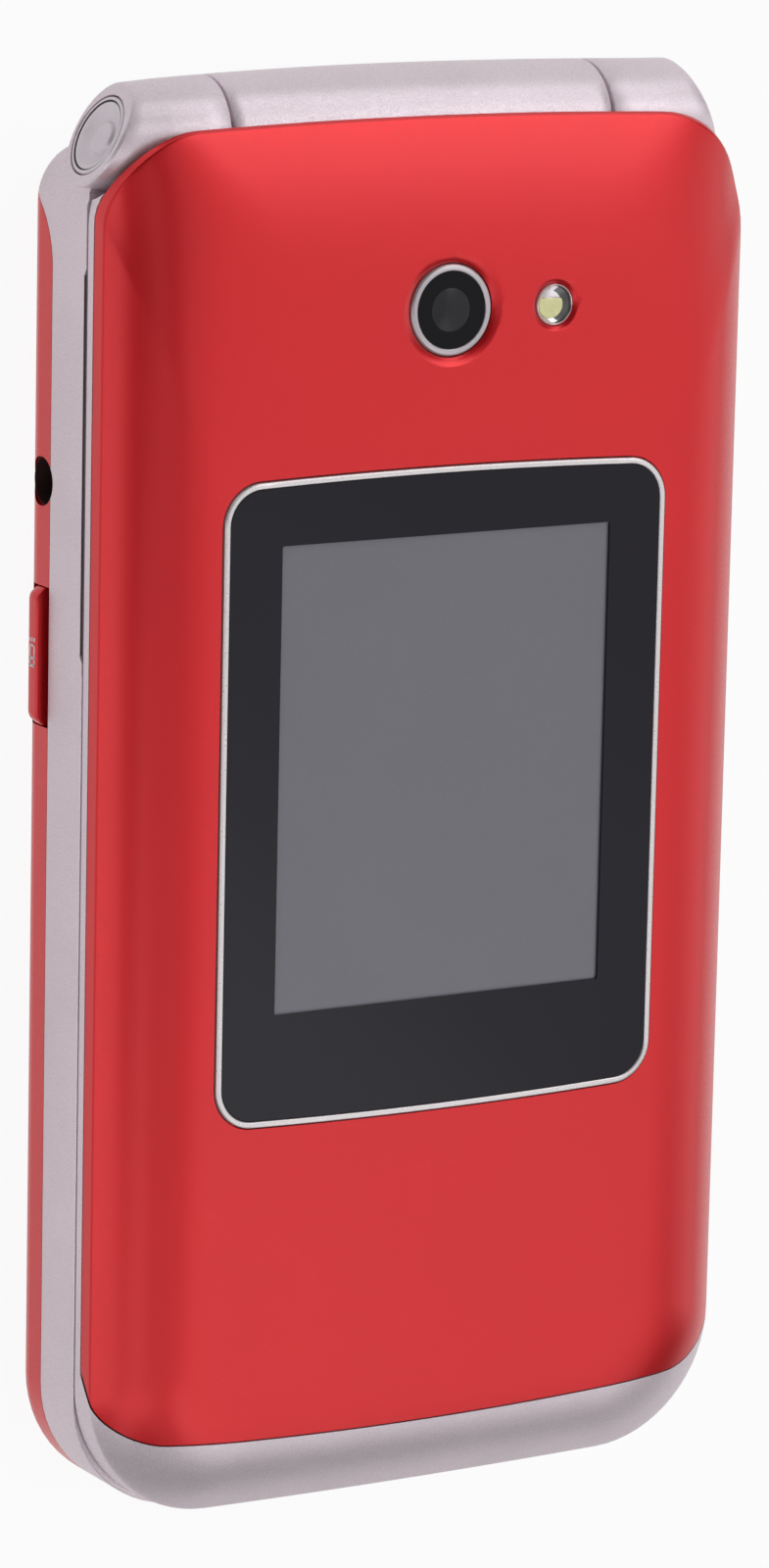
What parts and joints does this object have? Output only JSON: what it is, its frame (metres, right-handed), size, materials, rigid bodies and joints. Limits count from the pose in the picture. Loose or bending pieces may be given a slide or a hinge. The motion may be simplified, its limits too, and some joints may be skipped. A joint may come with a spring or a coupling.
{
  "type": "flip phone",
  "caption": "Clamshell mobile phone with an outer display, camera and flash on a crowned lid, barrel hinge, keypad and pull-off back.",
  "frame": {"origin": "middle of the flat back on which the closed phone lies", "axes": "+X across the phone (to the right, seen from above with the hinge away), +Y from the chin to the hinge, +Z from the back through the lid"},
  "size_m": [0.0562, 0.1078, 0.017],
  "materials": {
    "red_paint": "satin metallic red paint on moulded plastic",
    "silver_paint": "fine-grained metallic silver paint on moulded plastic",
    "black_plastic": "satin black moulding",
    "key_plastic": "smooth dark key caps",
    "ok_plastic": "silver key cap",
    "green_key": "green key cap",
    "dark_glass": "polished black-backed window",
    "display": "unlit grey display",
    "trim": "polished bright trim",
    "flash": "clear flash dome",
    "led": "yellow flash diode",
    "board": "green circuit board",
    "rubber_parts": "soft silicone",
    "mesh": "dark acoustic mesh",
    "steel": "stamped steel",
    "contact_brass": "gold-plated contacts",
    "antenna_plastic": "antenna carrier",
    "battery_wrap": "plain dark battery case"
  },
  "bodies": {
    "base": {"front_housing": "silver_paint", "keypad_plate": "silver_paint", "keypad_mat": "rubber_parts", "main_board": "board", "rear_chassis": "black_plastic", "jack_socket": "black_plastic", "usb_socket": "steel", "loudspeaker": "black_plastic", "vibration_motor": "steel", "microphone": "contact_brass", "sim_holder": "steel", "battery_contacts": "contact_brass", "antenna": "antenna_plastic", "hinge_cap_left": "silver_paint", "hinge_cap_right": "silver_paint", "hinge_bush": "steel", "chassis_screws": "steel"},
    "lid": {"lid_cover": "red_paint", "lid_frame": "silver_paint", "lid_bezel": "black_plastic", "outer_window": "dark_glass", "outer_window_trim": "trim", "outer_lcd": "display", "camera_ring": "trim", "camera_window": "dark_glass", "camera_module": "black_plastic", "flash_lens": "flash", "flash_led": "led", "lid_board": "board", "inner_lcd": "display", "inner_window": "dark_glass", "earpiece": "black_plastic", "earpiece_mesh": "mesh", "lid_bumpers": "rubber_parts", "hinge_cartridge": "steel"},
    "rear_cover": {"rear_cover": "red_paint"},
    "battery": {"battery": "battery_wrap"},
    "torch_key": {"torch_key": "red_paint"},
    "volume_key": {"volume_key": "red_paint"},
    "nav_plate": {"nav_plate": "steel"},
    "nav_ring": {"nav_ring": "key_plastic"},
    "ok_key": {"ok_key": "ok_plastic"},
    "soft_key_left": {"soft_key_left": "key_plastic"},
    "soft_key_right": {"soft_key_right": "key_plastic"},
    "call_key": {"call_key": "green_key"},
    "end_key": {"end_key": "red_paint"},
    "key_1": {"key_1": "key_plastic"},
    "key_2": {"key_2": "key_plastic"},
    "key_3": {"key_3": "key_plastic"},
    "key_4": {"key_4": "key_plastic"},
    "key_5": {"key_5": "key_plastic"},
    "key_6": {"key_6": "key_plastic"},
    "key_7": {"key_7": "key_plastic"},
    "key_8": {"key_8": "key_plastic"},
    "key_9": {"key_9": "key_plastic"},
    "key_star": {"key_star": "key_plastic"},
    "key_0": {"key_0": "key_plastic"},
    "key_hash": {"key_hash": "key_plastic"}
  },
  "joints": [
    {"name": "lid_hinge", "type": "hinge", "parent": "base", "child": "lid", "pos_m": [0, 0.04913, 0.0104], "axis": [-1, 0, 0], "range_deg": [0, 160]},
    {"name": "rear_cover_pull", "type": "slide", "parent": "base", "child": "rear_cover", "axis": [0, 0, -1], "range_m": [0, 0.012]},
    {"name": "battery_lift", "type": "slide", "parent": "base", "child": "battery", "axis": [0, 0, -1], "range_m": [0, 0.006]},
    {"name": "torch_key_press", "type": "slide", "parent": "base", "child": "torch_key", "axis": [1, 0, 0], "range_m": [0, 0.0004], "stiffness_N_per_m": 3000},
    {"name": "volume_key_rock", "type": "hinge", "parent": "base", "child": "volume_key", "pos_m": [0.02525, 0.01065, 0.0044], "axis": [0, 0, 1], "range_deg": [-2, 2], "stiffness_Nm_per_rad": 0.4},
    {"name": "nav_plate_tilt", "type": "hinge", "parent": "base", "child": "nav_plate", "pos_m": [0, 0.0132, 0.00875], "axis": [1, 0, 0], "range_deg": [-1, 1], "stiffness_Nm_per_rad": 0.8},
    {"name": "nav_ring_tilt", "type": "hinge", "parent": "nav_plate", "child": "nav_ring", "pos_m": [0, 0.0132, 0.00875], "axis": [0, 1, 0], "range_deg": [-1, 1], "stiffness_Nm_per_rad": 0.8},
    {"name": "ok_key_press", "type": "slide", "parent": "base", "child": "ok_key", "axis": [0, 0, -1], "range_m": [0, 0.00025], "stiffness_N_per_m": 4000},
    {"name": "soft_key_left_press", "type": "slide", "parent": "base", "child": "soft_key_left", "axis": [0, 0, -1], "range_m": [0, 0.00025], "stiffness_N_per_m": 4000},
    {"name": "soft_key_right_press", "type": "slide", "parent": "base", "child": "soft_key_right", "axis": [0, 0, -1], "range_m": [0, 0.00025], "stiffness_N_per_m": 4000},
    {"name": "call_key_press", "type": "slide", "parent": "base", "child": "call_key", "axis": [0, 0, -1], "range_m": [0, 0.00025], "stiffness_N_per_m": 4000},
    {"name": "end_key_press", "type": "slide", "parent": "base", "child": "end_key", "axis": [0, 0, -1], "range_m": [0, 0.00025], "stiffness_N_per_m": 4000},
    {"name": "key_1_press", "type": "slide", "parent": "base", "child": "key_1", "axis": [0, 0, -1], "range_m": [0, 0.00025], "stiffness_N_per_m": 4000},
    {"name": "key_2_press", "type": "slide", "parent": "base", "child": "key_2", "axis": [0, 0, -1], "range_m": [0, 0.00025], "stiffness_N_per_m": 4000},
    {"name": "key_3_press", "type": "slide", "parent": "base", "child": "key_3", "axis": [0, 0, -1], "range_m": [0, 0.00025], "stiffness_N_per_m": 4000},
    {"name": "key_4_press", "type": "slide", "parent": "base", "child": "key_4", "axis": [0, 0, -1], "range_m": [0, 0.00025], "stiffness_N_per_m": 4000},
    {"name": "key_5_press", "type": "slide", "parent": "base", "child": "key_5", "axis": [0, 0, -1], "range_m": [0, 0.00025], "stiffness_N_per_m": 4000},
    {"name": "key_6_press", "type": "slide", "parent": "base", "child": "key_6", "axis": [0, 0, -1], "range_m": [0, 0.00025], "stiffness_N_per_m": 4000},
    {"name": "key_7_press", "type": "slide", "parent": "base", "child": "key_7", "axis": [0, 0, -1], "range_m": [0, 0.00025], "stiffness_N_per_m": 4000},
    {"name": "key_8_press", "type": "slide", "parent": "base", "child": "key_8", "axis": [0, 0, -1], "range_m": [0, 0.00025], "stiffness_N_per_m": 4000},
    {"name": "key_9_press", "type": "slide", "parent": "base", "child": "key_9", "axis": [0, 0, -1], "range_m": [0, 0.00025], "stiffness_N_per_m": 4000},
    {"name": "key_star_press", "type": "slide", "parent": "base", "child": "key_star", "axis": [0, 0, -1], "range_m": [0, 0.00025], "stiffness_N_per_m": 4000},
    {"name": "key_0_press", "type": "slide", "parent": "base", "child": "key_0", "axis": [0, 0, -1], "range_m": [0, 0.00025], "stiffness_N_per_m": 4000},
    {"name": "key_hash_press", "type": "slide", "parent": "base", "child": "key_hash", "axis": [0, 0, -1], "range_m": [0, 0.00025], "stiffness_N_per_m": 4000}
  ],
  "couplings": [
    {"joint": "battery_lift", "follows": "rear_cover_pull", "ratio": 0.5}
  ]
}
